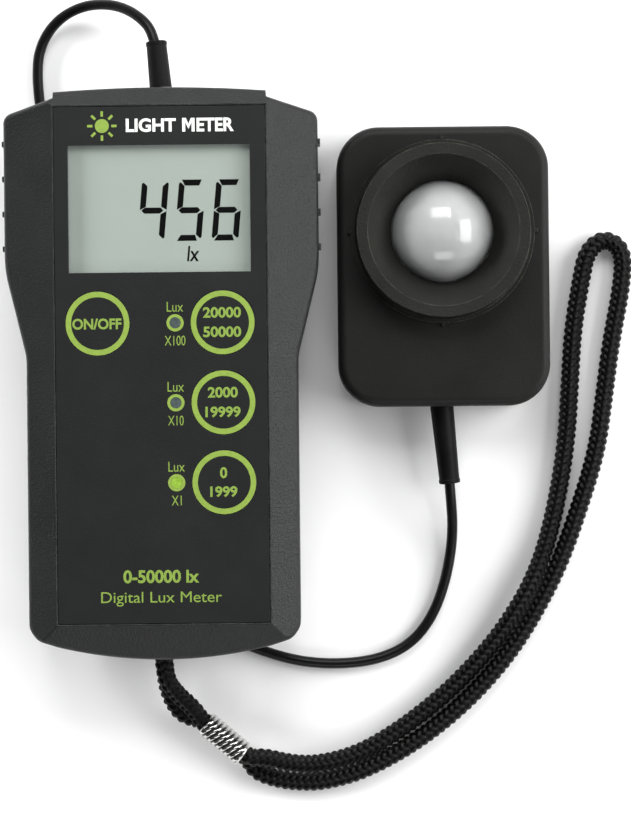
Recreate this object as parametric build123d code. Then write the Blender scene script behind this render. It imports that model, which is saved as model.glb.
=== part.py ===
from build123d import *
import os
from math import acos, pi, tan

# A hand-held light meter with its sensor on a flexible lead and a braided wrist strap.
# Millimetres. +X is the meter's right, +Y its top end, +Z out of its face.
# The origin is the middle of the meter's flat back, on the surface it lies on.

os.makedirs("parts", exist_ok=True)

# ---------------------------------------------------------------- driving dimensions

# Case
CASE_HEIGHT = 32.0
CASE_WALL = 2.0
TOP_END = 71.95             # Y of the arched top end
BOTTOM_END = -72.0          # Y of the arched bottom end
HEAD_HALF_WIDTH = 39.65     # round the display
GRIP_HALF_WIDTH = 34.15     # round the battery
PARTING_Z = 18.5            # where the two shells meet
BACK_HALF_WIDTH = 21.0      # flat back
BACK_TOP = 60.0
BACK_BOTTOM = -56.0
STRIP_HALF_WIDTH = 26.9     # level centre strip of the face
CREST_HALF_WIDTH = 26.7     # the step in the middle of the top end
CREST_DROP = 1.1            # how far the arched end falls away at the crest's corners
CREST_STEP = 1.65
SHOULDER_EDGE_RADIUS = 1.4
END_EDGE_RADIUS = 1.0

# Face
OVERLAY_HALF_WIDTH = 26.4
OVERLAY_GAP = 0.25
OVERLAY_TOP = 66.75
OVERLAY_BOTTOM = -62.45
OVERLAY_THICKNESS = 0.4
FACE_Z = 31.9               # outer face of the overlay, window and keys
SEAT_Z = FACE_Z - OVERLAY_THICKNESS
WINDOW_CENTRE = (-0.2, 41.3)
WINDOW_SIZE = (45.6, 32.0)
WINDOW_THICKNESS = 0.6
KEY_DIAMETER = 16.2
KEY_THICKNESS = 0.8
KEY_TRAVEL = 0.4
PLUNGER_DIAMETER = 8.0
LIGHT_DIAMETER = 2.75
KEY_PLACES = {
    "on_off": (-15.9, 12.6),
    "range_high": (15.4, 12.6),
    "range_mid": (15.4, -7.4),
    "range_low": (15.4, -27.4),
}
LIGHT_PLACES = {"x100": (3.5, 12.6), "x10": (3.5, -7.4), "x1": (3.5, -27.4)}

# Boards and display
PCB_TOP = 24.0
PCB_THICKNESS = 1.6
PCB_HALF_WIDTH = 29.5
SWITCH_TOP = PCB_TOP + 3.9
LCD_SIZE = (50.4, 37.4)
LCD_BOTTOM = 27.5
LCD_TOP = 30.2
LCD_FRAME_SIZE = (LCD_SIZE[0] + 2.6, LCD_SIZE[1] + 3.0)
CEILING_Z = SEAT_Z - CASE_WALL

# Fasteners of the case and board
CASE_SCREW_PLACES = [(-33.0, 45.0), (33.0, 45.0), (-24.5, -52.0), (24.5, -52.0)]
CASE_SCREW_SEAT = 12.0
PCB_SCREW_PLACES = [(-26.8, 14.0), (26.8, 14.0), (-26.8, -38.0), (26.8, -38.0)]

# Battery compartment
BATTERY_SIZE = (26.5, 48.5, 17.5)
BATTERY_BOTTOM = 2.3
BATTERY_LOW_END = -53.9
BOX_HALF_WIDTH = 13.6
BOX_LOW_END = -54.4
BOX_HIGH_END = -0.6
BOX_TOP = 20.0
BOX_WALL = 1.3
DOOR_THICKNESS = 1.8
DOOR_HALF_WIDTH = 14.8
DOOR_HINGE_Y = -54.0
DOOR_HINGE_Z = 0.9
DOOR_HIGH_END = -3.6
DOOR_GAP = 0.2

# Strap
STRAP_DIAMETER = 4.9
STRAP_X = -1.5              # where it leaves the case
BAR_RADIUS = 1.0
BAR_Y = -68.5
BAR_Z = 11.25
POCKET_HALF_WIDTH = 3.6
POCKET_Z = (5.0, 17.5)
POCKET_DEEP_END = -62.3
FERRULE_CENTRE = (14.0, -94.3, 5.65)
FERRULE_ANGLE = -40.4       # degrees from +X, level
FERRULE_LENGTH = 12.8
FERRULE_WALL = 0.6

# Lead
LEAD_DIAMETER = 2.7
METER_BOOT_BASE = (0.05, 71.0, PARTING_Z)
METER_BOOT_TIP = (-1.2, 84.6, 17.8)
METER_BOOT_RADII = (2.9, 2.55)
PROBE_BOOT_BASE = (71.05, -9.6, 7.5)
PROBE_BOOT_TIP = (72.9, -28.8, 5.6)
PROBE_BOOT_RADII = (3.0, 2.6)
BOOT_HOLE_GAP = 0.2

# Probe
PROBE_CENTRE = (71.5, 26.8)
PROBE_SIZE = (54.2, 71.6)
PROBE_CORNER = 10.8
PROBE_HEIGHT = 16.0
PROBE_WALL = 2.2
COVER_THICKNESS = 2.0
COLLAR_CENTRE = (71.3, 35.7)
COLLAR_TOP = 24.0
COLLAR_OUTER = 22.0         # radius at the top
COLLAR_INNER = 19.25        # radius of the mouth
DOME_RADIUS = 12.9
DOME_BASE = 15.0
DOME_TOP = 24.4


# ---------------------------------------------------------------- helpers


def joined(solids):
    """One node made of several solids."""
    whole = solids[0]
    for solid in solids[1:]:
        whole = whole + solid
    return whole


def block(low, high):
    """A box between two corners."""
    size = [h - l for l, h in zip(low, high)]
    return Pos(*low) * Box(*size, align=(Align.MIN, Align.MIN, Align.MIN))


def post(place, radius, low, high):
    """An upright cylinder."""
    x, y = place[0], place[1]
    return Pos(x, y, low) * Cylinder(radius, high - low, align=(Align.CENTER, Align.CENTER, Align.MIN))


def along(start, end):
    """A plane at start whose normal points at end."""
    return Plane(origin=start, z_dir=Vector(*end) - Vector(*start))


def outline(points):
    return Polygon(*points, align=None)


nodes = {}


def keep(name, shape):
    nodes[name] = shape


# ---------------------------------------------------------------- case


def case_plan(wall):
    """The case seen from the front, moved in by wall."""
    x_head = HEAD_HALF_WIDTH - wall
    x_grip = GRIP_HALF_WIDTH - wall
    x_crest = CREST_HALF_WIDTH - wall
    crest_end = TOP_END - CREST_DROP - wall
    side = [
        (x_crest, crest_end - CREST_STEP),
        (x_head, 65.4 - wall),
        (x_head, 26.5),
        (x_grip, 4.5),
        (x_grip, -64.0 + wall),
        (x_grip - 2.15, -66.9 + wall),
        (x_grip - 7.35, -68.6 + wall),
    ]
    bends = [2.7, 30.0, 14.0, 4.0, 4.0]
    with BuildSketch() as plan:
        with BuildLine():
            FilletPolyline(*side, radius=bends)
            Line(side[0], (x_crest, crest_end))
            mirror(about=Plane.YZ)
            ThreePointArc((-x_crest, crest_end), (0, TOP_END - wall), (x_crest, crest_end))
            low = side[-1]
            ThreePointArc((-low[0], low[1]), (0, BOTTOM_END + wall), low)
        make_face()
    return plan.sketch


ACROSS = outline(
    [
        (-BACK_HALF_WIDTH, 0),
        (BACK_HALF_WIDTH, 0),
        (42.0, 13.1),
        (42.0, 24.45),
        (STRIP_HALF_WIDTH, CASE_HEIGHT),
        (-STRIP_HALF_WIDTH, CASE_HEIGHT),
        (-42.0, 24.45),
        (-42.0, 13.1),
    ]
)
LENGTHWISE = outline(
    [
        (BACK_BOTTOM, 0),
        (BACK_TOP, 0),
        (72.5, 6.5),
        (72.5, 28.3),
        (67.4, CASE_HEIGHT),
        (-63.2, CASE_HEIGHT),
        (-73.0, 27.0),
        (-73.0, 9.3),
    ]
)


def inset(section, wall):
    if wall == 0.0:
        return section
    return offset(section, -wall, kind=Kind.INTERSECTION)


def case_solid(wall):
    """The whole case as one closed block with sharp edges, moved in by wall on every face."""
    body = extrude(case_plan(wall), CASE_HEIGHT)
    body &= extrude(Plane.XZ * inset(ACROSS, wall), 90, both=True)
    return body & extrude(Plane.YZ * inset(LENGTHWISE, wall), 50, both=True)


def rim_edges(body, low, high, at_ends):
    """The outline's edges between two heights: those of the two sides, or of the two arched ends."""
    chosen = []
    for edge in body.edges():
        middle = edge.center()
        at_height = low < middle.Z < high
        on_side = abs(middle.X) > 28.0 and edge.bounding_box().size.Z < 9.0
        on_end = abs(middle.X) < 5.0 and abs(middle.Y) > 69.0
        if at_height and (on_end if at_ends else on_side):
            chosen.append(edge)
    return chosen


def rounded_case():
    body = case_solid(0.0)
    body = fillet(rim_edges(body, 24.0, 31.9, False), SHOULDER_EDGE_RADIUS)
    body = fillet(rim_edges(body, 24.0, 31.9, True), END_EDGE_RADIUS)
    return fillet(rim_edges(body, 3.0, 12.0, True), END_EDGE_RADIUS)


CASE = rounded_case()
CAVITY = case_solid(CASE_WALL)
ABOVE = block((-60, -90, PARTING_Z), (60, 90, 60))
BELOW = block((-60, -90, -5), (60, 90, PARTING_Z))


def grip_ribs():
    """Four small ribs on each side of the head, across the parting line."""
    ribs = []
    for side in (-1, 1):
        for y in (58.4, 49.6, 40.7, 31.9):
            rib = Pos(side * HEAD_HALF_WIDTH, y, PARTING_Z) * Box(1.2, 1.3, 10.0)
            ribs.append(rib)
    return joined(ribs)


def boot_hole():
    """The hole in the top end that the lead's boot comes out of."""
    return along(METER_BOOT_BASE, METER_BOOT_TIP) * Cylinder(METER_BOOT_RADII[0] + BOOT_HOLE_GAP, 16.0)


def front_shell():
    shell = (CASE - CAVITY) & ABOVE
    shell += grip_ribs() & ABOVE
    for place in CASE_SCREW_PLACES:
        shell += post(place, 3.2, PARTING_Z, CEILING_Z + 0.5) & case_solid(0.6)
    for place in PCB_SCREW_PLACES:
        shell += post(place, 2.3, PCB_TOP, CEILING_Z + 0.5)
    recess_half_width = OVERLAY_HALF_WIDTH + OVERLAY_GAP
    recess_low = (-recess_half_width, OVERLAY_BOTTOM - OVERLAY_GAP, SEAT_Z)
    recess_high = (recess_half_width, OVERLAY_TOP + OVERLAY_GAP, CASE_HEIGHT + 1)
    shell -= block(recess_low, recess_high)
    x, y = WINDOW_CENTRE
    plate = (WINDOW_SIZE[0] + 3.4, WINDOW_SIZE[1] + 3.4)
    shell -= Pos(x, y, SEAT_Z) * Box(plate[0], plate[1], 2 * (WINDOW_THICKNESS + 0.05))
    shell -= Pos(x, y, SEAT_Z) * Box(WINDOW_SIZE[0], WINDOW_SIZE[1], 8)
    pocket = (LCD_FRAME_SIZE[0] + 0.4, LCD_FRAME_SIZE[1] + 0.4, LCD_TOP + 0.1 - PCB_TOP)
    shell -= Pos(x, y, PCB_TOP + pocket[2] / 2) * Box(*pocket)
    for place in KEY_PLACES.values():
        shell -= post(place, KEY_DIAMETER / 2 + 0.4, SEAT_Z - 0.9, SEAT_Z + 1)
        shell -= post(place, PLUNGER_DIAMETER / 2 + 0.3, CEILING_Z - 1, SEAT_Z)
    for place in LIGHT_PLACES.values():
        shell -= post(place, LIGHT_DIAMETER / 2 + 0.05, CEILING_Z - 1, SEAT_Z + 1)
    for place in CASE_SCREW_PLACES:
        shell -= post(place, 1.5, PARTING_Z - 1, 27.2)
    for place in PCB_SCREW_PLACES:
        shell -= post(place, 1.05, PCB_TOP - 1, 28.6)
    return shell - boot_hole()


def battery_box_outer():
    low = (-BOX_HALF_WIDTH - BOX_WALL, BOX_LOW_END - BOX_WALL, 0.4)
    high = (BOX_HALF_WIDTH + BOX_WALL, BOX_HIGH_END + BOX_WALL, BOX_TOP + BOX_WALL)
    return block(low, high)


def strap_pocket(grow):
    low = (STRAP_X - POCKET_HALF_WIDTH - grow, -75.0, POCKET_Z[0] - grow)
    high = (STRAP_X + POCKET_HALF_WIDTH + grow, POCKET_DEEP_END + grow, POCKET_Z[1] + grow)
    return block(low, high)


def rear_shell():
    shell = (CASE - CAVITY) & BELOW
    lip = (case_solid(CASE_WALL + 0.1) - case_solid(CASE_WALL + 1.0)) & block(
        (-60, -90, PARTING_Z - 1.5), (60, 90, PARTING_Z + 1.2)
    )
    shell += lip
    shell += grip_ribs() & BELOW
    shell += battery_box_outer() & case_solid(0.2)
    shell += (strap_pocket(1.0) & BELOW) & case_solid(0.2)
    for place in CASE_SCREW_PLACES:
        shell += post(place, 4.2, 0, PARTING_Z - 0.3) & case_solid(0.6)
    shell -= block((-BOX_HALF_WIDTH, BOX_LOW_END, 1.0), (BOX_HALF_WIDTH, BOX_HIGH_END, BOX_TOP))
    shell -= block((-15.0, BOX_LOW_END - 0.7, -1), (15.0, DOOR_HIGH_END + DOOR_GAP, DOOR_THICKNESS + 0.1))
    shell -= Pos(0, DOOR_HINGE_Y, DOOR_HINGE_Z) * Rot(0, 90, 0) * Cylinder(0.5, 33.0)
    shell -= block((-4.0, BOX_HIGH_END - 1, 12.0), (4.0, BOX_HIGH_END + 3, 17.0))
    shell -= strap_pocket(0.0)
    shell -= Pos(STRAP_X, BAR_Y, BAR_Z) * Rot(0, 90, 0) * Cylinder(BAR_RADIUS, 11.0)
    for place in CASE_SCREW_PLACES:
        shell -= post(place, 3.1, -1, CASE_SCREW_SEAT)
        shell -= post(place, 1.7, -1, PARTING_Z + 1)
    return shell - boot_hole()


keep("front_shell", front_shell())
keep("rear_shell", rear_shell())


# ---------------------------------------------------------------- face, keys, lights


def keypad_overlay():
    low = (-OVERLAY_HALF_WIDTH, OVERLAY_BOTTOM, SEAT_Z)
    sheet = block(low, (OVERLAY_HALF_WIDTH, OVERLAY_TOP, FACE_Z))
    sheet = fillet(sheet.edges().filter_by(Axis.Z), 0.3)
    sheet -= Pos(*WINDOW_CENTRE, FACE_Z) * Box(*WINDOW_SIZE, 4)
    for place in KEY_PLACES.values():
        sheet -= post(place, KEY_DIAMETER / 2 + 0.1, SEAT_Z - 1, FACE_Z + 1)
    for place in LIGHT_PLACES.values():
        sheet -= post(place, LIGHT_DIAMETER / 2 + 0.03, SEAT_Z - 1, FACE_Z + 1)
    return sheet


def display_window():
    plate = Box(WINDOW_SIZE[0] + 3.0, WINDOW_SIZE[1] + 3.0, WINDOW_THICKNESS)
    return Pos(*WINDOW_CENTRE, SEAT_Z - WINDOW_THICKNESS / 2) * plate


def key_cap(place):
    cap = post(place, KEY_DIAMETER / 2, FACE_Z - KEY_THICKNESS, FACE_Z)
    return fillet(cap.edges().group_by(Axis.Z)[-1], 0.12)


def key_plunger(place):
    foot = SWITCH_TOP + KEY_TRAVEL + 0.05
    return post(place, PLUNGER_DIAMETER / 2, foot, FACE_Z - KEY_THICKNESS)


def tactile_switch(place):
    x, y = place
    body = Pos(x, y, PCB_TOP + 1.5) * Box(6.0, 6.0, 3.0)
    return body + post(place, 1.75, PCB_TOP + 3.0, SWITCH_TOP)


def light_pipe(place):
    pipe = post(place, LIGHT_DIAMETER / 2, PCB_TOP + 1.6, FACE_Z)
    return pipe + post(place, 2.1, CEILING_Z - 0.9, CEILING_Z)


def led_chip(place):
    return Pos(place[0], place[1], PCB_TOP + 0.6) * Box(3.2, 1.6, 1.2)


keep("keypad_overlay", keypad_overlay())
keep("display_window", display_window())
for key, place in KEY_PLACES.items():
    keep(f"{key}_key", key_cap(place))
    keep(f"{key}_plunger", key_plunger(place))
keep("tactile_switches", joined([tactile_switch(place) for place in KEY_PLACES.values()]))
for name, place in LIGHT_PLACES.items():
    keep(f"range_light_{name}", light_pipe(place))
keep("led_chips", joined([led_chip(place) for place in LIGHT_PLACES.values()]))


# ---------------------------------------------------------------- board and display


def main_pcb():
    low = (-PCB_HALF_WIDTH, -61.0, PCB_TOP - PCB_THICKNESS)
    board = block(low, (PCB_HALF_WIDTH, 64.0, PCB_TOP))
    board = chamfer(board.edges().filter_by(Axis.Z), 3.0)
    for place in CASE_SCREW_PLACES:
        board -= post(place, 3.7, 20, 26)
    for place in PCB_SCREW_PLACES:
        board -= post(place, 1.2, 20, 26)
    return board


def pcb_screw(place):
    head = post(place, 2.1, PCB_TOP - PCB_THICKNESS - 1.4, PCB_TOP - PCB_THICKNESS)
    return head + post(place, 1.0, PCB_TOP - PCB_THICKNESS, 28.4)


def lcd_frame():
    x, y = WINDOW_CENTRE
    middle = (PCB_TOP + LCD_TOP) / 2
    height = LCD_TOP - PCB_TOP
    frame = Pos(x, y, middle) * Box(*LCD_FRAME_SIZE, height)
    frame -= Pos(x, y, middle) * Box(LCD_SIZE[0] + 0.4, LCD_SIZE[1] + 0.4, height + 2)
    for side in (-1, 1):
        ledge_y = y + side * (LCD_SIZE[1] / 2 - 0.35)
        ledge = Pos(x, ledge_y, LCD_BOTTOM - 0.6) * Box(LCD_SIZE[0] + 2, 1.2, 1.0)
        frame += ledge
    return frame


def lcd_glass():
    cell = Box(LCD_SIZE[0], LCD_SIZE[1], LCD_TOP - LCD_BOTTOM)
    return Pos(*WINDOW_CENTRE, (LCD_TOP + LCD_BOTTOM) / 2) * cell


def zebra_strip(side):
    x, y = WINDOW_CENTRE
    height = LCD_BOTTOM - PCB_TOP
    return Pos(x, y + side * 15.6, PCB_TOP + height / 2) * Box(46.0, 2.2, height)


def circuit_parts():
    """Parts hanging under the top end of the board, and two low ones on its face."""
    under = PCB_TOP - PCB_THICKNESS
    chip = Pos(-10.0, 30.0, under - 1.9) * Box(19.0, 7.0, 3.8)
    small_chip = Pos(14.0, 28.0, under - 1.7) * Box(9.5, 6.5, 3.4)
    capacitor = post((-20.0, 50.0), 3.2, under - 8.0, under)
    film_capacitor = Pos(2.0, 48.0, under - 3.5) * Box(7.2, 3.5, 7.0)
    trimmers = [Pos(x, 14.0, under - 2.4) * Box(6.6, 6.6, 4.8) for x in (-4.0, 6.0)]
    upper_chip = Pos(-15.0, -10.0, PCB_TOP + 0.9) * Box(10.0, 6.0, 1.8)
    upper_driver = Pos(-14.0, -40.0, PCB_TOP + 0.8) * Box(12.0, 12.0, 1.6)
    return joined([chip, small_chip, capacitor, film_capacitor, *trimmers, upper_chip, upper_driver])


def sensor_socket():
    """The plug-in connector of the lead's wires, with its three contacts."""
    under = PCB_TOP - PCB_THICKNESS
    housing = Pos(0.0, 59.0, under - 2.9) * Box(10.0, 4.6, 5.8)
    for x in (-2.5, 0.0, 2.5):
        housing -= Pos(x, 61.0, under - 3.4) * Box(1.3, 4.0, 1.3)
    return housing


keep("main_pcb", main_pcb())
keep("pcb_screws", joined([pcb_screw(place) for place in PCB_SCREW_PLACES]))
keep("lcd_frame", lcd_frame())
keep("lcd_glass", lcd_glass())
keep("zebra_strips", joined([zebra_strip(side) for side in (-1, 1)]))
keep("circuit_parts", circuit_parts())
keep("sensor_socket", sensor_socket())


# ---------------------------------------------------------------- case screws


def case_screw(place):
    head = post(place, 2.8, CASE_SCREW_SEAT - 2.2, CASE_SCREW_SEAT)
    shank = post(place, 1.45, CASE_SCREW_SEAT, 26.8)
    cross = Pos(place[0], place[1], CASE_SCREW_SEAT - 2.2)
    slots = cross * Box(3.0, 0.8, 2.0) + cross * Box(0.8, 3.0, 2.0)
    return head + shank - slots


keep("case_screws", joined([case_screw(place) for place in CASE_SCREW_PLACES]))


# ---------------------------------------------------------------- battery and its door


def battery():
    width, length, height = BATTERY_SIZE
    low = (-width / 2, BATTERY_LOW_END, BATTERY_BOTTOM)
    cell = block(low, (width / 2, BATTERY_LOW_END + length - 2.6, BATTERY_BOTTOM + height))
    cell = fillet(cell.edges().filter_by(Axis.Y), 2.4)
    middle = BATTERY_BOTTOM + height / 2
    end = BATTERY_LOW_END + length - 2.6
    for x, radius in ((-6.35, 2.9), (6.35, 3.9)):
        cell += Pos(x, end + 1.2, middle) * Rot(90, 0, 0) * Cylinder(radius, 2.6)
    return cell


def battery_snap():
    middle = BATTERY_BOTTOM + BATTERY_SIZE[2] / 2
    end = BATTERY_LOW_END + BATTERY_SIZE[1] - 2.6
    snap = block((-12.4, end + 0.1, middle - 6.2), (12.4, end + 4.2, middle + 6.2))
    snap = fillet(snap.edges().filter_by(Axis.Y), 3.0)
    for x, radius in ((-6.35, 3.0), (6.35, 4.0)):
        snap -= Pos(x, end + 1.0, middle) * Rot(90, 0, 0) * Cylinder(radius, 3.6)
    return snap


def battery_wire(x):
    """A short insulated wire from the snap, through the box wall, up to the board."""
    snap_face = BATTERY_LOW_END + BATTERY_SIZE[1] - 2.6 + 4.2
    under = PCB_TOP - PCB_THICKNESS
    route = [(x, snap_face, 14.5), (x, 4.6, 14.5), (x, 4.6, under)]
    path = FilletPolyline(*route, radius=2.2)
    return sweep(Plane(path @ 0, z_dir=path % 0) * Circle(0.6), path=path)


def battery_door():
    plate = block((-DOOR_HALF_WIDTH, DOOR_HINGE_Y, 0), (DOOR_HALF_WIDTH, DOOR_HIGH_END, DOOR_THICKNESS))
    barrel = Pos(0, DOOR_HINGE_Y, DOOR_HINGE_Z) * Rot(0, 90, 0) * Cylinder(0.9, 2 * DOOR_HALF_WIDTH)
    pins = Pos(0, DOOR_HINGE_Y, DOOR_HINGE_Z) * Rot(0, 90, 0) * Cylinder(0.45, 32.4)
    tongue = block((-5.0, DOOR_HIGH_END - 0.9, 1.0), (5.0, DOOR_HIGH_END, 3.6))
    door = plate + barrel + pins + tongue
    for row in range(3):
        groove_y = DOOR_HIGH_END - 7.0 - 2.2 * row
        door -= Pos(0, groove_y, 0) * Rot(0, 90, 0) * Cylinder(0.5, 14.0)
    return door


def battery_pad():
    return block((-11.0, -48.0, DOOR_THICKNESS), (11.0, -12.0, BATTERY_BOTTOM - 0.1))


keep("battery", battery())
keep("battery_snap", battery_snap())
keep("battery_leads", joined([battery_wire(x) for x in (-1.6, 1.6)]))
keep("battery_door", battery_door())
keep("battery_pad", battery_pad())


# ---------------------------------------------------------------- cords


def bend_radii(route):
    """The radius of the arc at each inner point of a route."""
    radii = []
    for before, here, after in zip(route, route[1:], route[2:]):
        run_in = Vector(*here) - Vector(*before)
        run_out = Vector(*after) - Vector(*here)
        turn = acos(max(-1.0, min(1.0, run_in.normalized().dot(run_out.normalized()))))
        radii.append(0.45 * min(run_in.length, run_out.length) / tan(turn / 2))
    return radii


def cord(name, route, diameter):
    """A round tube that runs straight between the route's points and curves past them."""
    radii = bend_radii(route)
    path = FilletPolyline(*route, radius=radii)
    tube = sweep(Plane(path @ 0, z_dir=path % 0) * Circle(diameter / 2), path=path)
    print(name, "arc radii", [round(radius, 1) for radius in radii])
    expected = path.length * pi * diameter**2 / 4
    print(name, "length", round(path.length, 1), "volume against section x length", round(tube.volume / expected, 4))
    return tube


# The lead leaves the top end, loops over to the left, runs under the left shoulder and the
# bottom end of the case, comes out to the right and curves up into the probe.
LEAD_ROUTE = [
    (-0.55, 77.5, 18.17),
    (-1.4, 86.4, 17.7),
    (-6.0, 92.0, 14.9),
    (-12.7, 95.4, 10.3),
    (-20.9, 95.6, 5.6),
    (-28.1, 92.1, 2.3),
    (-32.6, 85.0, 1.45),
    (-33.1, 76.0, 1.4),
    (-31.6, 64.5, 1.4),
    (-30.4, 46.0, 1.4),
    (-30.9, 14.0, 1.4),
    (-30.6, -20.0, 1.4),
    (-31.2, -42.0, 1.4),
    (-31.6, -57.3, 1.4),
    (-27.6, -64.3, 1.4),
    (-20.6, -68.3, 1.4),
    (-5.0, -67.8, 1.4),
    (11.5, -67.0, 1.4),
    (28.6, -73.9, 1.4),
    (40.5, -75.8, 1.4),
    (52.9, -75.0, 1.4),
    (62.2, -71.1, 1.4),
    (68.3, -63.7, 1.4),
    (72.0, -53.6, 1.4),
    (73.8, -42.5, 2.2),
    (73.16, -31.5, 5.33),
    (72.11, -20.6, 6.41),
]

# The strap starts inside the ferrule, passes round the bar, comes back through the ferrule,
# goes out to its far fold and returns to the ferrule beside itself.
STRAP_Z = STRAP_DIAMETER / 2 + 0.05
BAR_REACH = BAR_RADIUS + STRAP_DIAMETER / 2
BAR_RISE = BAR_REACH + 0.15
UPPER_Z = FERRULE_CENTRE[2] + STRAP_DIAMETER / 2 + 0.02
LOWER_Z = FERRULE_CENTRE[2] - STRAP_DIAMETER / 2 - 0.02
FERRULE_AXIS = Vector(1, 0, 0).rotate(Axis.Z, FERRULE_ANGLE)


def in_ferrule(distance, z):
    """A point on the ferrule's axis, at its own height."""
    x = FERRULE_CENTRE[0] + FERRULE_AXIS.X * distance
    y = FERRULE_CENTRE[1] + FERRULE_AXIS.Y * distance
    return (x, y, z)


STRAP_ROUTE = [
    in_ferrule(-0.5, UPPER_Z),
    in_ferrule(-7.2, UPPER_Z),
    (6.1, -85.9, 9.4),
    (2.1, -82.1, 11.4),
    (-0.9, -77.6, 14.2),
    (STRAP_X, BAR_Y + BAR_REACH, BAR_Z + BAR_RISE),
    (STRAP_X, BAR_Y + BAR_REACH, BAR_Z - BAR_RISE),
    (-1.3, -76.0, 6.6),
    (-0.3, -82.6, 5.2),
    (2.9, -88.3, 3.9),
    in_ferrule(-7.2, LOWER_Z),
    in_ferrule(7.4, LOWER_Z),
    (21.7, -103.0, 2.7),
    (26.6, -105.1, STRAP_Z),
    (33.0, -106.1, STRAP_Z),
    (40.0, -106.0, STRAP_Z),
    (50.4, -103.2, STRAP_Z),
    (63.9, -95.9, STRAP_Z),
    (77.2, -85.4, STRAP_Z),
    (88.6, -72.6, STRAP_Z),
    (96.9, -59.0, STRAP_Z),
    (102.1, -48.2, STRAP_Z),
    (107.0, -34.5, STRAP_Z),
    (111.4, -20.5, STRAP_Z),
    (113.4, -6.5, STRAP_Z),
    (115.3, 7.5, STRAP_Z),
    (118.1, 21.0, STRAP_Z),
    (118.9, 30.9, STRAP_Z),
    (114.0, 34.4, STRAP_Z),
    (109.2, 30.9, STRAP_Z),
    (107.5, 22.5, STRAP_Z),
    (105.4, 10.5, STRAP_Z),
    (104.5, -3.5, STRAP_Z),
    (103.5, -18.0, STRAP_Z),
    (101.0, -33.0, STRAP_Z),
    (97.8, -45.5, 3.2),
    (94.8, -52.9, 4.9),
    (91.2, -59.7, 5.3),
    (84.6, -69.7, 3.9),
    (73.75, -81.65, 2.8),
    (61.1, -91.7, 3.5),
    (49.0, -98.75, 4.6),
    (38.0, -101.4, 5.0),
    (30.8, -100.9, 5.8),
    (24.4, -99.1, 7.0),
    in_ferrule(7.6, UPPER_Z),
    in_ferrule(0.5, UPPER_Z),
]


def strap_ferrule():
    """A flattened tube standing on edge round both strands."""
    bore_half = STRAP_DIAMETER / 2 + 0.05
    section_plane = Plane(
        origin=in_ferrule(-FERRULE_LENGTH / 2, FERRULE_CENTRE[2]),
        x_dir=(0, 0, 1),
        z_dir=FERRULE_AXIS,
    )
    outer_half = bore_half + FERRULE_WALL
    outer = SlotCenterToCenter(STRAP_DIAMETER, 2 * outer_half)
    bore = SlotCenterToCenter(STRAP_DIAMETER, 2 * bore_half)
    sleeve = extrude(section_plane * (outer - bore), FERRULE_LENGTH)
    return sleeve


def strap_bar():
    return Pos(STRAP_X, BAR_Y, BAR_Z) * Rot(0, 90, 0) * Cylinder(BAR_RADIUS, 10.6)


keep("sensor_lead", cord("sensor_lead", LEAD_ROUTE, LEAD_DIAMETER))
keep("wrist_strap", cord("wrist_strap", STRAP_ROUTE, STRAP_DIAMETER))
keep("strap_ferrule", strap_ferrule())
keep("strap_bar", strap_bar())


# ---------------------------------------------------------------- boots and ring


def boot(base, tip, radii, inner_length):
    """A smooth tapered strain relief with a lip at its tip and a flange inside the wall."""
    base_radius, tip_radius = radii
    length = (Vector(*tip) - Vector(*base)).length
    to_base = (Align.CENTER, Align.CENTER, Align.MIN)
    taper = Cone(base_radius, tip_radius, length, align=to_base)
    lip = Pos(0, 0, length - 1.1) * Cylinder(tip_radius + 0.15, 1.1, align=to_base)
    inner = Cylinder(base_radius, inner_length, align=(Align.CENTER, Align.CENTER, Align.MAX))
    flange = Pos(0, 0, -inner_length) * Cylinder(base_radius + 1.4, 1.6, align=to_base)
    body = taper + fillet(lip.edges(), 0.25) + inner + flange
    bore = Cylinder(LEAD_DIAMETER / 2 + 0.12, 2 * (length + inner_length))
    return along(base, tip) * (body - bore)


def lead_ring():
    """A thin pale ring round the boot, where it leaves the case."""
    radius = METER_BOOT_RADII[0] + BOOT_HOLE_GAP
    ring = Cylinder(radius, 0.5) - Cylinder(METER_BOOT_RADII[0], 0.5)
    return along(METER_BOOT_BASE, METER_BOOT_TIP) * (Pos(0, 0, 1.25) * ring)


keep("meter_boot", boot(METER_BOOT_BASE, METER_BOOT_TIP, METER_BOOT_RADII, 5.4))
keep("probe_boot", boot(PROBE_BOOT_BASE, PROBE_BOOT_TIP, PROBE_BOOT_RADII, 5.2))
keep("lead_ring", lead_ring())


# ---------------------------------------------------------------- probe

PX, PY = PROBE_CENTRE
CX, CY = COLLAR_CENTRE
COLLAR_TOP_PLACE = (CX, CY)
PROBE_SCREW_PLACES = [(PX + sx * 20.0, PY + sy * 28.5) for sx in (-1, 1) for sy in (-1, 1)]


def rounded_slab(inset, low, high):
    """The probe's rounded rectangle between two heights."""
    plan = RectangleRounded(PROBE_SIZE[0] - 2 * inset, PROBE_SIZE[1] - 2 * inset, PROBE_CORNER - inset)
    return extrude(Pos(PX, PY, low) * plan, high - low)


def probe_boot_hole():
    return along(PROBE_BOOT_BASE, PROBE_BOOT_TIP) * Cylinder(PROBE_BOOT_RADII[0] + BOOT_HOLE_GAP, 14.0)


def probe_housing():
    body = rounded_slab(0, COVER_THICKNESS, PROBE_HEIGHT)
    body = fillet(body.edges().group_by(Axis.Z)[-1], 2.2)
    body -= rounded_slab(PROBE_WALL, COVER_THICKNESS - 1, PROBE_HEIGHT - PROBE_WALL)
    for place in PROBE_SCREW_PLACES:
        body += post(place, 2.9, COVER_THICKNESS, PROBE_HEIGHT - PROBE_WALL + 0.5)
    for place in PROBE_SCREW_PLACES:
        body -= post(place, 1.25, COVER_THICKNESS - 1, 12.6)
    body -= post(COLLAR_TOP_PLACE, 15.6, 5, PROBE_HEIGHT + 1)
    return body - probe_boot_hole()


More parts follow.
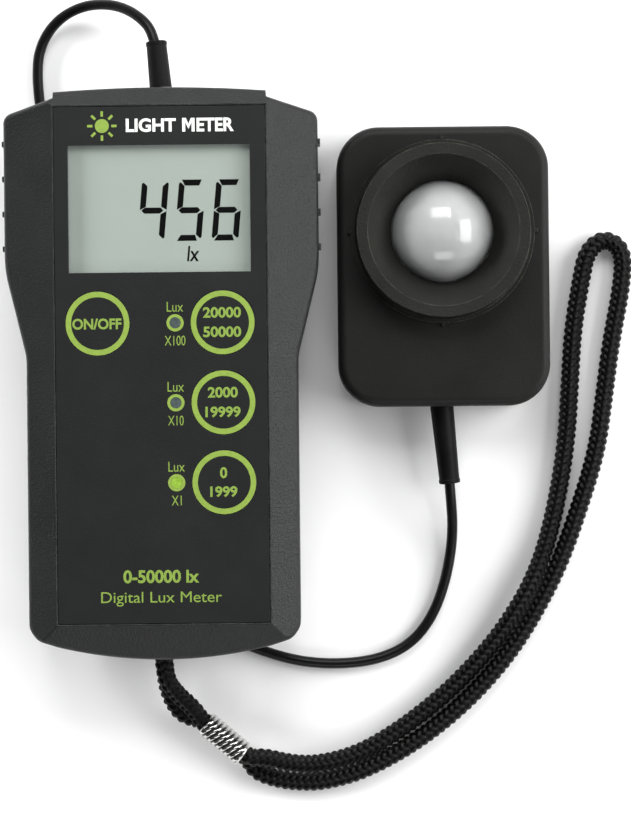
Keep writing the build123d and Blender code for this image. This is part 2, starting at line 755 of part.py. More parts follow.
def probe_back_cover():
    cover = rounded_slab(0.35, 0, COVER_THICKNESS)
    cover = fillet(cover.edges().group_by(Axis.Z)[0], 0.8)
    for place in PROBE_SCREW_PLACES:
        cover -= post(place, 1.5, -1, COVER_THICKNESS + 1)
        cover -= post(place, 2.7, -1, 1.2)
    return cover


def probe_screw(place):
    screw = post(place, 2.4, 0.3, 1.2) + post(place, 1.2, 1.2, 12.2)
    x, y = place
    return screw - Pos(x, y, 0.3) * Box(3.4, 0.7, 0.8)


def probe_collar():
    """A ring with a low flange, a steep outer wall and a cone that narrows to the dome."""
    seat = PROBE_HEIGHT
    section = outline(
        [
            (13.2, DOME_BASE + 0.3),
            (13.2, DOME_BASE - 0.8),
            (15.4, DOME_BASE - 0.8),
            (15.4, seat),
            (23.5, seat),
            (23.5, seat + 0.7),
            (COLLAR_OUTER + 0.5, seat + 0.7),
            (COLLAR_OUTER, COLLAR_TOP),
            (COLLAR_INNER, COLLAR_TOP),
        ]
    )
    collar = revolve(Plane.XZ * section, Axis.Z)
    for quarter in range(4):
        nub = Rot(0, 0, 90 * quarter) * Pos(23.8, 0, seat + 0.35) * Box(1.0, 0.8, 0.7)
        collar += nub
    return Pos(CX, CY, 0) * collar


def diffuser_dome():
    """A shallow opal dome on a flange under the collar."""
    rise = DOME_TOP - DOME_BASE
    ball = (DOME_RADIUS**2 + rise**2) / (2 * rise)
    ball_centre = DOME_TOP - ball
    cap = Pos(CX, CY, ball_centre) * Sphere(ball)
    cap &= post(COLLAR_CENTRE, DOME_RADIUS + 3, DOME_BASE, DOME_TOP + 2)
    hollow = Pos(CX, CY, ball_centre) * Sphere(ball - 1.6)
    hollow &= post(COLLAR_CENTRE, DOME_RADIUS + 3, DOME_BASE - 0.1, DOME_TOP + 2)
    base = post(COLLAR_CENTRE, DOME_RADIUS, DOME_BASE - 1.2, DOME_BASE)
    flange = post(COLLAR_CENTRE, DOME_RADIUS + 1.8, DOME_BASE - 2.0, DOME_BASE - 0.9)
    bore = post(COLLAR_CENTRE, DOME_RADIUS - 2.4, DOME_BASE - 3, DOME_BASE + 0.05)
    return cap + base + flange - hollow - bore


def filter_holder():
    holder = post(COLLAR_CENTRE, 12.0, 7.7, DOME_BASE - 2.1) - post(COLLAR_CENTRE, 8.6, 11.0, 16)
    return holder - post(COLLAR_CENTRE, 6.6, 7, 16)


def probe_pcb():
    low = (PX - 19.0, PY - 22.0, 6.0)
    board = block(low, (PX + 19.0, PY + 24.0, 7.6))
    return chamfer(board.edges().filter_by(Axis.Z), 5.0)


def photodiode():
    case = post(COLLAR_CENTRE, 6.2, 7.65, 9.8) - post(COLLAR_CENTRE, 4.6, 9.3, 11)
    chip = Pos(CX, CY, 9.4) * Box(5.0, 5.0, 0.3)
    return case + chip


keep("probe_housing", probe_housing())
keep("probe_back_cover", probe_back_cover())
keep("probe_screws", joined([probe_screw(place) for place in PROBE_SCREW_PLACES]))
keep("probe_collar", probe_collar())
keep("diffuser_dome", diffuser_dome())
keep("filter_holder", filter_holder())
keep("filter_glass", post(COLLAR_CENTRE, 8.5, 11.0, 12.8))
keep("probe_pcb", probe_pcb())
keep("photodiode", photodiode())


# ---------------------------------------------------------------- files

for name, shape in nodes.items():
    export_step(shape, f"parts/{name}.step")
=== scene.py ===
import math

import bpy
import numpy as np
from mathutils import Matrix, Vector


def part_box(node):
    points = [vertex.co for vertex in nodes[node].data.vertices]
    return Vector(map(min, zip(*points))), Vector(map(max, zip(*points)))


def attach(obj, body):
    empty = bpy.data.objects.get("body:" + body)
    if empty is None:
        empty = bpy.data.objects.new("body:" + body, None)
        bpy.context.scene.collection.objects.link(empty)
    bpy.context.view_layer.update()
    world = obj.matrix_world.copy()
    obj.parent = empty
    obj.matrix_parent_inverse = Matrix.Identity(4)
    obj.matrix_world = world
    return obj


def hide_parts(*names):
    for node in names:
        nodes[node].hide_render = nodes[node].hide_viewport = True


# A hand-held light meter, its sensor on a lead and its braided wrist strap, seen from above.
# The CAD nodes keep their shapes. This script gives them materials and adds what CAD leaves
# plain: the two cords, the crimped ferrule, the printing on the face and the display's figures.

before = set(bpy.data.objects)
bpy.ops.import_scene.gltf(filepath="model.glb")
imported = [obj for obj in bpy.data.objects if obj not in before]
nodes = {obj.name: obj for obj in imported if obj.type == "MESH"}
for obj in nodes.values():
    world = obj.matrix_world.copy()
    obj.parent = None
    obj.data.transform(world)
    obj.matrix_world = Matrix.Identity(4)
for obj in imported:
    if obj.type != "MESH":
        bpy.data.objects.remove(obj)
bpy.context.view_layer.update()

MM = 0.001
ROOT = "root"
scene = bpy.context.scene


def metres(point):
    return tuple(value * MM for value in point)


def srgb(text):
    """A linear colour from a display colour written as six hexadecimal digits."""
    levels = [int(text[i : i + 2], 16) / 255 for i in (0, 2, 4)]
    return tuple(v / 12.92 if v <= 0.04045 else ((v + 0.055) / 1.055) ** 2.4 for v in levels) + (1.0,)


def centre_of(node):
    low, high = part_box(node)
    return (low + high) / 2


# ---------------------------------------------------------------- camera, floor, light

CAMERA_HEIGHT = 0.800
CAMERA_OVER = (0.0384, -0.0087)
CAMERA_LEAN = -0.0105          # radians about the view's axis
CAMERA_LENS = 136.0


def add_camera():
    data = bpy.data.cameras.new("camera")
    data.sensor_width = 36.0
    data.lens = CAMERA_LENS
    camera = bpy.data.objects.new("camera", data)
    camera.location = (*CAMERA_OVER, CAMERA_HEIGHT)
    camera.rotation_euler = (0.0, 0.0, CAMERA_LEAN)
    scene.collection.objects.link(camera)
    scene.camera = camera


def add_light(name, place, target, size, power, mirrored):
    """A rectangular soft box that faces its target."""
    data = bpy.data.lights.new(name, "AREA")
    data.shape = "RECTANGLE"
    data.size, data.size_y = size
    data.energy = power
    light = bpy.data.objects.new(name, data)
    light.location = place
    light.visible_glossy = mirrored
    aim = Vector(target) - Vector(place)
    light.rotation_euler = aim.to_track_quat("-Z", "Y").to_euler()
    scene.collection.objects.link(light)


def add_world(left, right, near, overhead):
    """A pale room: dimmer on the meter's left, at its lower end, and where the camera hangs."""
    world = bpy.data.worlds.new("studio")
    world.use_nodes = True
    tree = world.node_tree
    background = tree.nodes["Background"]
    direction = tree.nodes.new("ShaderNodeTexCoord")
    split = tree.nodes.new("ShaderNodeSeparateXYZ")
    tree.links.new(direction.outputs["Generated"], split.inputs["Vector"])
    strength = None
    spans = (
        ("X", (-1.0, 1.0, left, right)),
        ("Y", (-0.5, 0.4, near, 1.0)),
        ("Z", (0.6, 0.92, 1.0, overhead)),
    )
    for axis, values in spans:
        share = tree.nodes.new("ShaderNodeMapRange")
        for key, value in zip(("From Min", "From Max", "To Min", "To Max"), values):
            share.inputs[key].default_value = value
        tree.links.new(split.outputs[axis], share.inputs["Value"])
        if strength is None:
            strength = share.outputs["Result"]
            continue
        product = tree.nodes.new("ShaderNodeMath")
        product.operation = "MULTIPLY"
        tree.links.new(strength, product.inputs[0])
        tree.links.new(share.outputs["Result"], product.inputs[1])
        strength = product.outputs["Value"]
    tree.links.new(strength, background.inputs["Strength"])
    background.inputs["Color"].default_value = (1.0, 1.0, 1.0, 1.0)
    scene.world = world


# Each soft box: name, place, target, size, watts, and whether shiny surfaces mirror it.
MIDDLE = (0.04, 0.0, 0.0)
SOFT_BOXES = [
    ("key", (0.03, 0.8, 0.85), MIDDLE, (0.8, 0.5), 7.5, True),
    ("right", (0.75, 0.05, 0.55), MIDDLE, (0.7, 0.4), 5.2, True),
    ("near", (0.1, -0.75, 0.55), MIDDLE, (0.6, 0.3), 2.0, True),
    ("low_left", (-0.95, 0.35, 0.34), (-0.02, 0.0, 0.0), (0.9, 0.3), 20.0, False),
    ("low_right", (1.05, 0.35, 0.34), (0.1, 0.0, 0.0), (0.9, 0.3), 14.0, False),
]


# ---------------------------------------------------------------- materials

PANE_MIRROR = 0.03             # share of the light that the clear pane mirrors


class Finish:
    """A procedural material round one Principled shader, in the frame's own metres."""

    def __init__(self, name, **values):
        self.material = bpy.data.materials.new(name)
        self.material.use_nodes = True
        self.tree = self.material.node_tree
        self.shader = self.tree.nodes["Principled BSDF"]
        self.base = None
        for key, value in values.items():
            self.shader.inputs[key.replace("_", " ")].default_value = value

    def add(self, kind, **settings):
        node = self.tree.nodes.new(kind)
        for key, value in settings.items():
            setattr(node, key, value)
        return node

    def feed(self, socket, source):
        """Links a socket's source, or sets its plain value."""
        if isinstance(source, bpy.types.NodeSocket):
            self.tree.links.new(source, socket)
        else:
            socket.default_value = source

    def coords(self, stretch=(1, 1, 1), turn=(0, 0, 0), uv=False):
        where = self.add("ShaderNodeTexCoord")
        mapping = self.add("ShaderNodeMapping")
        mapping.inputs["Scale"].default_value = stretch
        mapping.inputs["Rotation"].default_value = turn
        self.feed(mapping.inputs["Vector"], where.outputs["UV" if uv else "Object"])
        return mapping.outputs["Vector"]

    def noise(self, size, detail=3.0, rough=0.5, **where):
        """Soft noise whose blotches are about this many metres wide."""
        node = self.add("ShaderNodeTexNoise")
        node.inputs["Scale"].default_value = 1.0 / size
        node.inputs["Detail"].default_value = detail
        node.inputs["Roughness"].default_value = rough
        self.feed(node.inputs["Vector"], self.coords(**where))
        return node.outputs["Fac"]

    def cells(self, size, feature="F1", **where):
        node = self.add("ShaderNodeTexVoronoi", feature=feature)
        node.inputs["Scale"].default_value = 1.0 / size
        self.feed(node.inputs["Vector"], self.coords(**where))
        return node.outputs["Distance"]

    def span(self, source, low, high, start=0.0, end=1.0):
        """Maps start..end of the source to low..high."""
        node = self.add("ShaderNodeMapRange")
        for key, value in (("From Min", start), ("From Max", end), ("To Min", low), ("To Max", high)):
            node.inputs[key].default_value = value
        self.feed(node.inputs["Value"], source)
        return node.outputs["Result"]

    def ramp(self, source, *stops):
        node = self.add("ShaderNodeValToRGB")
        elements = node.color_ramp.elements
        while len(elements) < len(stops):
            elements.new(0.5)
        for element, (place, colour) in zip(elements, stops):
            element.position = place
            element.color = colour
        self.feed(node.inputs["Fac"], source)
        return node.outputs["Color"]

    def math(self, operation, a, b):
        node = self.add("ShaderNodeMath", operation=operation)
        self.feed(node.inputs[0], a)
        self.feed(node.inputs[1], b)
        return node.outputs["Value"]

    def mix(self, factor, a, b):
        node = self.add("ShaderNodeMix", data_type="RGBA")
        self.feed(node.inputs["Factor"], factor)
        self.feed(node.inputs[6], a)
        self.feed(node.inputs[7], b)
        return node.outputs[2]

    def rounded(self, radius):
        """Softens sharp edges to this radius, and gives a mask of where they are."""
        bevel = self.add("ShaderNodeBevel", samples=4)
        bevel.inputs["Radius"].default_value = radius
        surface = self.add("ShaderNodeNewGeometry")
        dot = self.add("ShaderNodeVectorMath", operation="DOT_PRODUCT")
        self.feed(dot.inputs[0], bevel.outputs["Normal"])
        self.feed(dot.inputs[1], surface.outputs["Normal"])
        self.base = bevel.outputs["Normal"]
        return self.span(dot.outputs["Value"], 0.0, 1.0, 0.995, 0.9)

    def bump(self, height, depth, strength=1.0):
        """Adds relief this many metres deep on top of what is there."""
        node = self.add("ShaderNodeBump")
        node.inputs["Strength"].default_value = strength
        node.inputs["Distance"].default_value = depth
        self.feed(node.inputs["Height"], height)
        if self.base is not None:
            self.feed(node.inputs["Normal"], self.base)
        self.base = node.outputs["Normal"]

    def colour(self, source):
        self.feed(self.shader.inputs["Base Color"], source)

    def roughness(self, source):
        self.feed(self.shader.inputs["Roughness"], source)

    def see_through(self, solid):
        """Shows what is behind the surface, apart from this share of it."""
        clear = self.add("ShaderNodeBsdfTransparent")
        both = self.add("ShaderNodeMixShader")
        output = self.tree.nodes["Material Output"]
        both.inputs[0].default_value = solid
        self.feed(both.inputs[1], clear.outputs["BSDF"])
        self.feed(both.inputs[2], self.shader.outputs["BSDF"])
        self.feed(output.inputs["Surface"], both.outputs["Shader"])

    def done(self):
        if self.base is not None:
            self.feed(self.shader.inputs["Normal"], self.base)
        return self.material


def grained_plastic(
    name, dark, light, rough, grain=0.0003, depth=0.00004, edge=0.0003, edge_highlight=None, shine=0.5
):
    """Moulded plastic: fine spark-eroded grain, uneven sheen, and edges painted lighter in patches as a
    painted highlight.
    """
    f = Finish(name, Specular_IOR_Level=shine)
    edges = f.rounded(edge)
    blotches = f.noise(0.014, detail=4.0)
    tone = f.ramp(blotches, (0.3, srgb(dark)), (0.75, srgb(light)))
    # The edges are painted lighter, in patches set by noise: a painted highlight.
    edge_highlight_mask = f.math("MULTIPLY", edges, f.span(f.noise(0.003), 0.1, 0.75, 0.35, 0.7))
    f.colour(f.mix(edge_highlight_mask, tone, srgb(edge_highlight or light)))
    sheen = f.span(blotches, rough - 0.05, rough + 0.06)
    f.roughness(f.math("SUBTRACT", sheen, f.math("MULTIPLY", edges, 0.12)))
    f.bump(f.noise(grain, detail=2.0, rough=0.7), depth)
    return f.done()


def case_plastic():
    # The pale edge colour 55585a is a painted highlight.
    return grained_plastic(
        "case_plastic", "191a1a", "1e1f1f", 0.40, grain=0.0006, depth=0.00022, edge_highlight="55585a", shine=0.38
    )


def probe_plastic():
    # The edge colour 3a3a38 is a painted highlight.
    return grained_plastic(
        "probe_plastic", "121211", "171716", 0.52, grain=0.0004, depth=0.00006, edge_highlight="3a3a38", shine=0.28
    )


def collar_plastic():
    # The edge colour 66665f is a painted highlight on the collar's rims.
    return grained_plastic(
        "collar_plastic", "20201e", "282826", 0.55, grain=0.0007, depth=0.00018, edge_highlight="66665f", shine=0.08
    )


def face_film():
    """Printed polyester film: very fine matt lacquer with faint unevenness."""
    f = Finish("face_film", Specular_IOR_Level=0.4)
    edges = f.rounded(0.0001)
    tone = f.ramp(f.noise(0.02), (0.3, srgb("171818")), (0.7, srgb("1b1c1c")))
    # The edges are painted lighter, towards 505152: a painted highlight.
    f.colour(f.mix(f.math("MULTIPLY", edges, 0.5), tone, srgb("505152")))
    f.roughness(f.span(f.noise(0.006), 0.40, 0.5))
    f.bump(f.noise(0.0004, detail=2.0), 0.00004)
    return f.done()


def ink(name, colour, dull):
    """Screen-printed ink: nearly even, with pinholes too small to see singly."""
    f = Finish(name)
    f.colour(f.ramp(f.noise(0.0012), (0.3, srgb(dull)), (0.6, srgb(colour))))
    f.roughness(f.span(f.noise(0.002), 0.38, 0.5))
    f.bump(f.noise(0.0002), 0.00001)
    return f.done()


def window_plastic():
    """A thin clear pane: it lets the light through, and mirrors a little of the room."""
    f = Finish("window_plastic", Metallic=1.0)
    f.colour(f.ramp(f.noise(0.03), (0.2, (0.93, 0.94, 0.94, 1)), (0.8, (0.97, 0.98, 0.98, 1))))
    f.roughness(f.span(f.noise(0.008), 0.03, 0.08))
    f.bump(f.noise(0.01), 0.000002)
    f.see_through(PANE_MIRROR)
    return f.done()


def display_cell():
    """The reflective back of the display: pale grey green, faintly uneven."""
    f = Finish("display_cell")
    f.colour(f.ramp(f.noise(0.012), (0.25, srgb("929c95")), (0.8, srgb("969f98"))))
    f.roughness(f.span(f.noise(0.004), 0.42, 0.5))
    f.bump(f.noise(0.00015), 0.000006)
    return f.done()


def liquid_crystal():
    """The display's figures: nearly black, without a shine of their own."""
    f = Finish("liquid_crystal", Specular_IOR_Level=0.05)
    f.colour(f.ramp(f.noise(0.003), (0.3, srgb("020202")), (0.7, srgb("050505"))))
    f.roughness(f.span(f.noise(0.002), 0.35, 0.45))
    return f.done()


def rubber(name, dark, light, rough, shine=0.25):
    f = Finish(name, Specular_IOR_Level=shine)
    edges = f.rounded(0.00025)
    tone = f.ramp(f.noise(0.006, detail=4.0), (0.3, srgb(dark)), (0.75, srgb(light)))
    # The edges are painted lighter, towards 2c2d2d: a painted highlight.
    f.colour(f.mix(f.math("MULTIPLY", edges, 0.4), tone, srgb("2c2d2d")))
    f.roughness(f.span(f.noise(0.0015), rough - 0.07, rough + 0.07))
    f.bump(f.noise(0.0004, detail=4.0), 0.00003)
    return f.done()


def nylon_braid():
    """Twisted nylon yarn: fine filaments along each yarn, painted darker where the filament relief is low,
    as painted shade.
    """
    f = Finish("nylon_braid", Specular_IOR_Level=0.2)
    filaments = f.noise(0.09, detail=2.0, uv=True, stretch=(1.0, 0.08, 1.0))
    blotches = f.noise(0.01)
    # The tone follows the bump's noise, darker in its hollows: painted shade.
    tone = f.ramp(filaments, (0.3, srgb("010101")), (0.75, srgb("080807")))
    f.colour(f.mix(f.span(blotches, 0.0, 0.35), tone, srgb("040404")))
    f.roughness(f.span(filaments, 0.28, 0.4))
    f.bump(filaments, 0.00008)
    return f.done()


def chrome():
    """Bright plating, painted dark down in the crimped grooves as painted shade."""
    f = Finish("chrome", Metallic=1.0)
    groove_shade = f.add("ShaderNodeAttribute", attribute_name="groove").outputs["Fac"]
    bright = f.ramp(f.noise(0.004), (0.3, srgb("d4d4d2")), (0.7, srgb("e6e6e4")))
    # Darker colour down in the grooves: painted shade.
    f.colour(f.mix(f.span(groove_shade, 0.0, 0.95, start=0.15, end=0.6), bright, srgb("232322")))
    f.roughness(f.span(f.noise(0.0008, stretch=(1, 6, 1)), 0.08, 0.2))
    f.bump(f.noise(0.0006), 0.00002)
    return f.done()


def zinc_steel(name="zinc_steel", low="9a9c9c", high="c2c3c1"):
    f = Finish(name, Metallic=1.0)
    edges = f.rounded(0.0001)
    tone = f.ramp(f.noise(0.0015), (0.3, srgb(low)), (0.7, srgb(high)))
    # The edges are painted lighter, towards e0e0de: a painted highlight.
    f.colour(f.mix(f.math("MULTIPLY", edges, 0.6), tone, srgb("e0e0de")))
    f.roughness(f.span(f.noise(0.0009), 0.22, 0.42))
    f.bump(f.noise(0.0003), 0.00001)
    return f.done()


def opal_plastic():
    """The diffuser: milky all through, under a thin clear polish."""
    f = Finish("opal_plastic", Subsurface_Weight=1.0, Subsurface_Scale=0.02, Coat_Weight=1.0)
    f.shader.inputs["Subsurface Radius"].default_value = (1.0, 1.0, 1.0)
    f.shader.inputs["Coat Roughness"].default_value = 0.03
    f.shader.inputs["Coat IOR"].default_value = 1.6
    f.shader.inputs["Specular IOR Level"].default_value = 0.1
    f.colour(f.ramp(f.noise(0.006), (0.3, srgb("ccd0cf")), (0.75, srgb("d2d6d5"))))
    f.roughness(f.span(f.noise(0.003), 0.3, 0.4))
    f.bump(f.noise(0.0006), 0.000002)
    return f.done()


def circuit_board():
    """Green lacquer over copper: broad tracks show as paler bands, with fine weave under them."""
    f = Finish("circuit_board", Coat_Weight=0.4)
    brick = f.add("ShaderNodeTexBrick", offset=0.37, squash=0.7)
    for key, value in (("Scale", 260.0), ("Mortar Size", 0.07), ("Brick Width", 1.4), ("Row Height", 0.45)):
        brick.inputs[key].default_value = value
    f.feed(brick.inputs["Vector"], f.coords())
    green = f.ramp(f.noise(0.01), (0.3, srgb("0c4a27")), (0.7, srgb("115730")))
    f.colour(f.mix(brick.outputs["Fac"], green, srgb("2b8050")))
    f.roughness(f.span(f.noise(0.004), 0.28, 0.4))
    f.bump(brick.outputs["Fac"], 0.00003)
    return f.done()


def chip_resin():
    f = Finish("chip_resin")
    edges = f.rounded(0.0002)
    tone = f.ramp(f.noise(0.0006), (0.3, srgb("17181a")), (0.7, srgb("222326")))
    # The edges are painted lighter, towards 4a4b4e: a painted highlight.
    f.colour(f.mix(f.math("MULTIPLY", edges, 0.5), tone, srgb("4a4b4e")))
    f.roughness(f.span(f.noise(0.001), 0.5, 0.68))
    f.bump(f.noise(0.0002), 0.00002)
    return f.done()


def lamp_plastic(name, dark, light, glow=0.0):
    f = Finish(name, Coat_Weight=0.5)
    tone = f.ramp(f.cells(0.0009), (0.1, srgb(light)), (0.9, srgb(dark)))
    f.colour(tone)
    f.roughness(f.span(f.noise(0.0008), 0.22, 0.38))
    f.bump(f.noise(0.0004), 0.00002)
    if glow:
        f.shader.inputs["Emission Color"].default_value = srgb(light)
        f.shader.inputs["Emission Strength"].default_value = glow
    return f.done()


def battery_sleeve():
    """A printed sleeve with two colours: a pale band at the contact end of a grey-blue can."""
    f = Finish("battery_sleeve", Coat_Weight=0.3)
    along = f.add("ShaderNodeSeparateXYZ")
    f.feed(along.inputs["Vector"], f.coords())
    band = f.span(along.outputs["Y"], 0.0, 1.0, -0.0200, -0.0198)
    tone = f.ramp(f.noise(0.008), (0.3, srgb("2c4763")), (0.7, srgb("345374")))
    f.colour(f.mix(band, tone, srgb("b9bdbf")))
    f.roughness(f.span(f.noise(0.003), 0.25, 0.4))
    f.bump(f.noise(0.0008), 0.00002)
    return f.done()


def foam():
    f = Finish("foam")
    f.colour(f.ramp(f.cells(0.0008), (0.1, srgb("18181a")), (0.8, srgb("303033"))))
    f.roughness(f.span(f.noise(0.001), 0.8, 0.95))
    f.bump(f.cells(0.0008), 0.0003)
    return f.done()


def pale_glass():
    f = Finish("pale_glass", Transmission_Weight=0.9, IOR=1.5)
    f.colour(f.ramp(f.noise(0.01), (0.3, srgb("8fb7b0")), (0.7, srgb("9fc5bd"))))
    f.roughness(f.span(f.noise(0.004), 0.02, 0.08))
    f.bump(f.noise(0.004), 0.000004)
    return f.done()


def floor_paint():
    f = Finish("floor_paint", Emission_Strength=0.03)
    f.shader.inputs["Emission Color"].default_value = (1.0, 1.0, 1.0, 1.0)
    f.colour(f.ramp(f.noise(0.4), (0.3, (0.86, 0.86, 0.86, 1)), (0.7, (0.88, 0.88, 0.88, 1))))
    f.roughness(f.span(f.noise(0.05), 0.6, 0.75))
    f.bump(f.noise(0.002), 0.00001)
    return f.done()


# ---------------------------------------------------------------- making pieces


def add_piece(name, mesh, material, body=ROOT):
    """Puts a finished mesh or curve in the scene, on its body."""
    piece = bpy.data.objects.new(name, mesh)
    scene.collection.objects.link(piece)
    mesh.materials.append(material)
    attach(piece, body)
    return piece


def mesh_from(name, points, faces, smooth=False):
    mesh = bpy.data.meshes.new(name)
    mesh.from_pydata([tuple(map(float, p)) for p in points], [], [tuple(map(int, f)) for f in faces])
    mesh.polygons.foreach_set("use_smooth", [smooth] * len(mesh.polygons))
    mesh.update()
    return mesh


def grid_faces(rings, around, first=0):
    """Quads between rings of points, each ring closed on itself."""
    ring, step = np.meshgrid(np.arange(rings - 1), np.arange(around), indexing="ij")
    ring, step = ring.ravel(), step.ravel()
    after = (step + 1) % around
    low, high = first + ring * around, first + (ring + 1) * around
    return np.stack([low + step, low + after, high + after, high + step], axis=1)


# ---------------------------------------------------------------- cords

LEAD_DIAMETER = 2.7
LEAD_ROUTE = [
    (-0.55, 77.5, 18.17),
    (-1.4, 86.4, 17.7),
    (-6.0, 92.0, 14.9),
    (-12.7, 95.4, 10.3),
    (-20.9, 95.6, 5.6),
    (-28.1, 92.1, 2.3),
    (-32.6, 85.0, 1.45),
    (-33.1, 76.0, 1.4),
    (-31.6, 64.5, 1.4),
    (-30.4, 46.0, 1.4),
    (-30.9, 14.0, 1.4),
    (-30.6, -20.0, 1.4),
    (-31.2, -42.0, 1.4),
    (-31.6, -57.3, 1.4),
    (-27.6, -64.3, 1.4),
    (-20.6, -68.3, 1.4),
    (-5.0, -67.8, 1.4),
    (11.5, -67.0, 1.4),
    (28.6, -73.9, 1.4),
    (40.5, -75.8, 1.4),
    (52.9, -75.0, 1.4),
    (62.2, -71.1, 1.4),
    (68.3, -63.7, 1.4),
    (72.0, -53.6, 1.4),
    (73.8, -42.5, 2.2),
    (73.16, -31.5, 5.33),
    (72.11, -20.6, 6.41),
]

STRAP_DIAMETER = 4.9
STRAP_Z = 2.5
FERRULE_CENTRE = (14.0, -94.3, 5.65)
FERRULE_ANGLE = math.radians(-40.4)
FERRULE_LENGTH = 12.8
UPPER_Z = FERRULE_CENTRE[2] + STRAP_DIAMETER / 2 + 0.02
LOWER_Z = FERRULE_CENTRE[2] - STRAP_DIAMETER / 2 - 0.02


def in_ferrule(distance, z):
    """A point on the ferrule's axis, at its own height."""
    x = FERRULE_CENTRE[0] + math.cos(FERRULE_ANGLE) * distance
    y = FERRULE_CENTRE[1] + math.sin(FERRULE_ANGLE) * distance
    return (x, y, z)


STRAP_ROUTE = [
    in_ferrule(-0.5, UPPER_Z),
    in_ferrule(-7.2, UPPER_Z),
    (6.1, -85.9, 9.4),
    (2.1, -82.1, 11.4),
    (-0.9, -77.6, 14.2),
    (-1.5, -65.05, 14.85),
    (-1.5, -65.05, 7.65),
    (-1.3, -76.0, 6.6),
    (-0.3, -82.6, 5.2),
    (2.9, -88.3, 3.9),
    in_ferrule(-7.2, LOWER_Z),
    in_ferrule(7.4, LOWER_Z),
    (21.7, -103.0, 2.7),
    (26.6, -105.1, STRAP_Z),
    (33.0, -106.1, STRAP_Z),
    (40.0, -106.0, STRAP_Z),
    (50.4, -103.2, STRAP_Z),
    (63.9, -95.9, STRAP_Z),
    (77.2, -85.4, STRAP_Z),
    (88.6, -72.6, STRAP_Z),
    (96.9, -59.0, STRAP_Z),
    (102.1, -48.2, STRAP_Z),
    (107.0, -34.5, STRAP_Z),
    (111.4, -20.5, STRAP_Z),
    (113.4, -6.5, STRAP_Z),
    (115.3, 7.5, STRAP_Z),
    (118.1, 21.0, STRAP_Z),
    (118.9, 30.9, STRAP_Z),
    (114.0, 34.4, STRAP_Z),
    (109.2, 30.9, STRAP_Z),
    (107.5, 22.5, STRAP_Z),
    (105.4, 10.5, STRAP_Z),
    (104.5, -3.5, STRAP_Z),
    (103.5, -18.0, STRAP_Z),
    (101.0, -33.0, STRAP_Z),
    (97.8, -45.5, 3.2),
    (94.8, -52.9, 4.9),
    (91.2, -59.7, 5.3),
    (84.6, -69.7, 3.9),
    (73.75, -81.65, 2.8),
    (61.1, -91.7, 3.5),
    (49.0, -98.75, 4.6),
    (38.0, -101.4, 5.0),
    (30.8, -100.9, 5.8),
    (24.4, -99.1, 7.0),
    in_ferrule(7.6, UPPER_Z),
    in_ferrule(0.5, UPPER_Z),
]


def cord_curve(name, route):
    """One smooth open spline with the route's points as its control points."""
    curve = bpy.data.curves.new(name, "CURVE")
    curve.dimensions = "3D"
    spline = curve.splines.new("NURBS")
    spline.points.add(len(route) - 1)
    for point, place in zip(spline.points, route):
        point.co = (*metres(place), 1.0)
    spline.order_u = 3
    spline.use_endpoint_u = True
    curve.resolution_u = 16
    return curve


def line_of(curve):
    """The points of a curve's own line, in order, as an array."""
    holder = bpy.data.objects.new("line", curve)
    scene.collection.objects.link(holder)
    bpy.context.view_layer.update()
    mesh = bpy.data.meshes.new_from_object(holder)
    points = np.array([v.co[:] for v in mesh.vertices])
    bpy.data.objects.remove(holder)
    bpy.data.meshes.remove(mesh)
    return points


def evenly(points, step):
    """Points a step apart along a line, and how far along each one is."""
    runs = np.linalg.norm(np.diff(points, axis=0), axis=1)
    travelled = np.concatenate([[0.0], np.cumsum(runs)])
    keep = np.concatenate([[True], runs > 1e-9])
    count = int(round(travelled[-1] / step)) + 1
    places = np.linspace(0.0, travelled[-1], count)
    line = np.stack([np.interp(places, travelled[keep], points[keep, axis]) for axis in range(3)], axis=1)
    return line, places


def unit(vectors):
    return vectors / np.linalg.norm(vectors, axis=-1, keepdims=True)


def frames_along(line):
    """Two directions across the line at each point, carried along it without twist."""
    ahead = unit(np.gradient(line, axis=0))
    across = np.empty_like(line)
    side = np.cross(ahead[0], (0.0, 0.0, 1.0))
    for i, direction in enumerate(ahead):
        side = side - direction * np.dot(side, direction)
        side = side / np.linalg.norm(side)
        across[i] = side
    return across, np.cross(across, ahead)


YARN_COLUMNS = 8
YARN_STEPS = 6                 # facets across one column of yarn
YARN_PITCH = 1.8 * MM
YARN_SLANT = 0.80              # how much of a pitch a yarn rises across its column
BRAID_STEP = 0.36 * MM
BRAID_CORE = 1.66 * MM
BRAID_RELIEF = 0.80 * MM
YARN_RIDGE = 1.05              # above 1 the gaps between yarns widen
YARN_CROWN = 0.6               # below 1 a yarn stays full to its sides


def yarn_height(turn, along):
    """The relief of the braid, 0 to 1, at a share of a turn and a distance along the cord."""
    column = turn * YARN_COLUMNS
    across = column - np.floor(column)
    lean = np.where(np.floor(column).astype(int) % 2 == 0, 1.0, -1.0)
    phase = along / YARN_PITCH + lean * (across - 0.5) * YARN_SLANT
    ridge = np.abs(np.sin(np.pi * phase)) ** YARN_RIDGE
    crown = np.sin(np.pi * across) ** YARN_CROWN
    return ridge * (0.25 + 0.75 * crown)


def wrist_strap():
    """A round braid of eight yarn columns that lean in turn, so that they meet in chevrons."""
    curve = cord_curve("strap_line", STRAP_ROUTE)
    path = line_of(curve)
    line, along = evenly(path, BRAID_STEP)
    right, up = frames_along(line)
    around = YARN_COLUMNS * YARN_STEPS
    turn = (np.arange(around) + 0.5) / around
    angle = 2 * np.pi * turn
    radius = BRAID_CORE + BRAID_RELIEF * yarn_height(turn[None, :], along[:, None])
    cosine, sine = np.cos(angle)[None, :, None], np.sin(angle)[None, :, None]
    spread = right[:, None, :] * cosine + up[:, None, :] * sine
    points = (line[:, None, :] + spread * radius[:, :, None]).reshape(-1, 3)
    faces = grid_faces(len(line), around)
    mesh = mesh_from("wrist_strap_braid", points, faces, smooth=True)
    add_filament_uv(mesh, len(line), around, along)
    piece = add_piece("wrist_strap_braid", mesh, nylon_braid())
    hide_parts("wrist_strap")
    return piece, path


